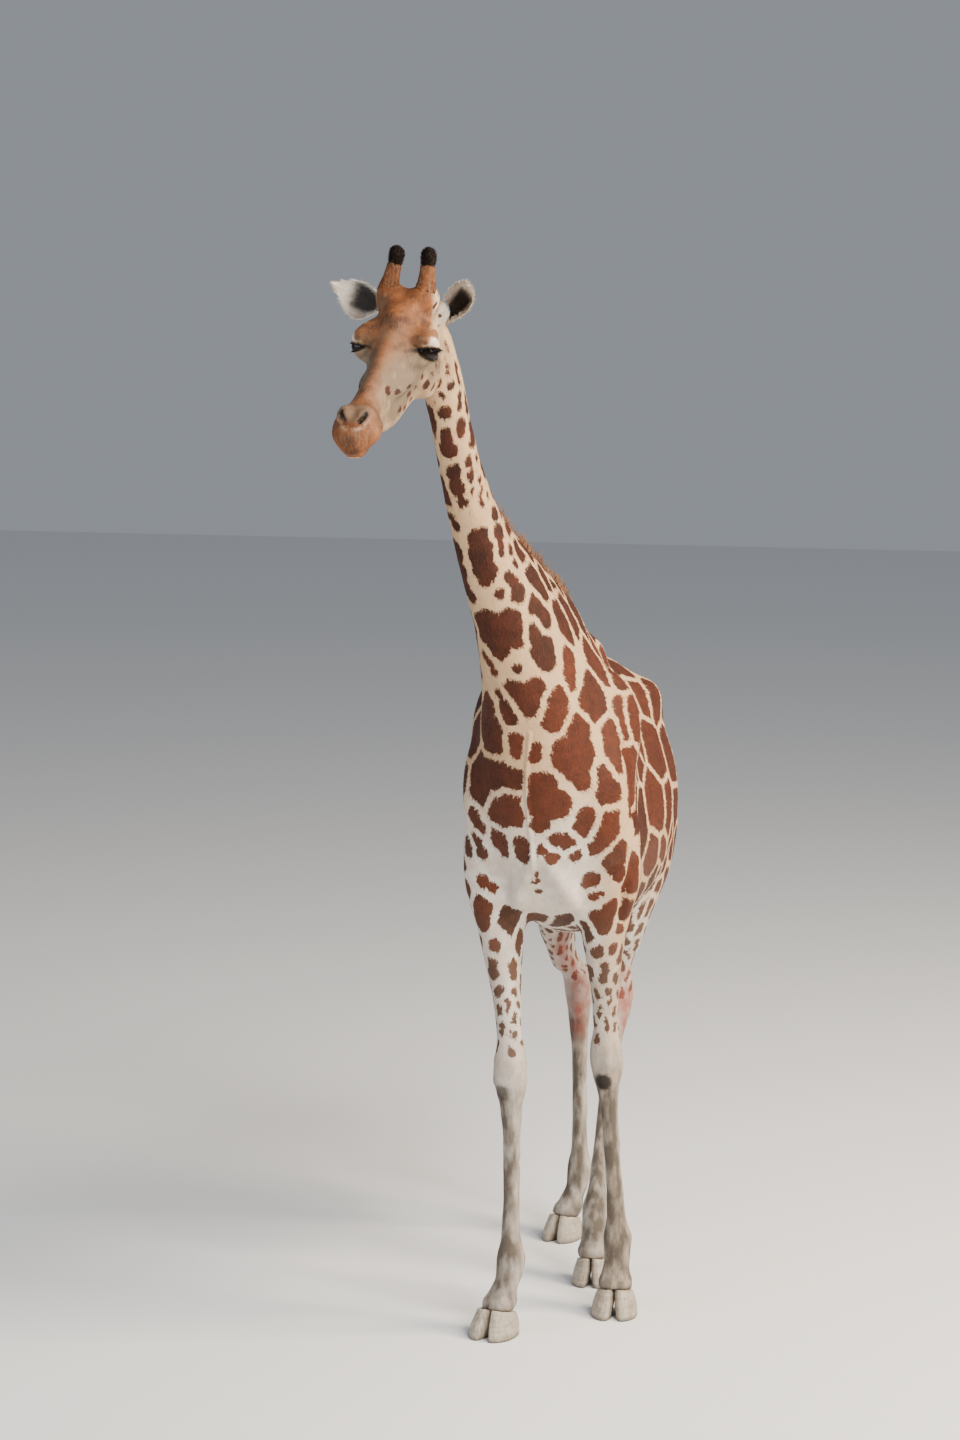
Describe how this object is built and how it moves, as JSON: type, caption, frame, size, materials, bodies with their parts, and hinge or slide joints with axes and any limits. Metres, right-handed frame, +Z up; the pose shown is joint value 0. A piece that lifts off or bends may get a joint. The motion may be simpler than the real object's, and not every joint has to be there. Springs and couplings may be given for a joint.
{
  "type": "reticulated giraffe model",
  "caption": "Still life-size model of a young reticulated giraffe, standing with its head turned to its right.",
  "frame": {"origin": "on the floor under the middle of the bounding box, level with the soles", "axes": "+Z up, the giraffe faces -Y, +X to its left"},
  "size_m": [0.794, 2.7832, 3.6045],
  "materials": {
    "coat": "short flat hair in red-brown patches with cream lines",
    "shank": "short flat buff hair, dusty down the front",
    "ear": "short white hair, dark within",
    "mane": "short upright red-brown hair",
    "dark_hair": "coarse black hair",
    "eye": "wet, nearly black",
    "hoof": "dull grey-brown horn"
  },
  "bodies": {
    "root": {"head": "coat", "neck_upper": "coat", "neck_lower": "coat", "trunk": "coat", "mane": "mane", "tail": "coat", "tail_tuft": "dark_hair", "ear_left": "ear", "eye_left": "eye", "ossicone_left": "coat", "ossicone_tuft_left": "dark_hair", "ear_right": "ear", "eye_right": "eye", "ossicone_right": "coat", "ossicone_tuft_right": "dark_hair", "fore_left_upper": "coat", "fore_left_lower": "shank", "fore_left_claw_a": "hoof", "fore_left_claw_b": "hoof", "fore_right_upper": "coat", "fore_right_lower": "shank", "fore_right_claw_a": "hoof", "fore_right_claw_b": "hoof", "hind_left_upper": "coat", "hind_left_lower": "shank", "hind_left_claw_a": "hoof", "hind_left_claw_b": "hoof", "hind_right_upper": "coat", "hind_right_lower": "shank", "hind_right_claw_a": "hoof", "hind_right_claw_b": "hoof"}
  },
  "joints": []
}
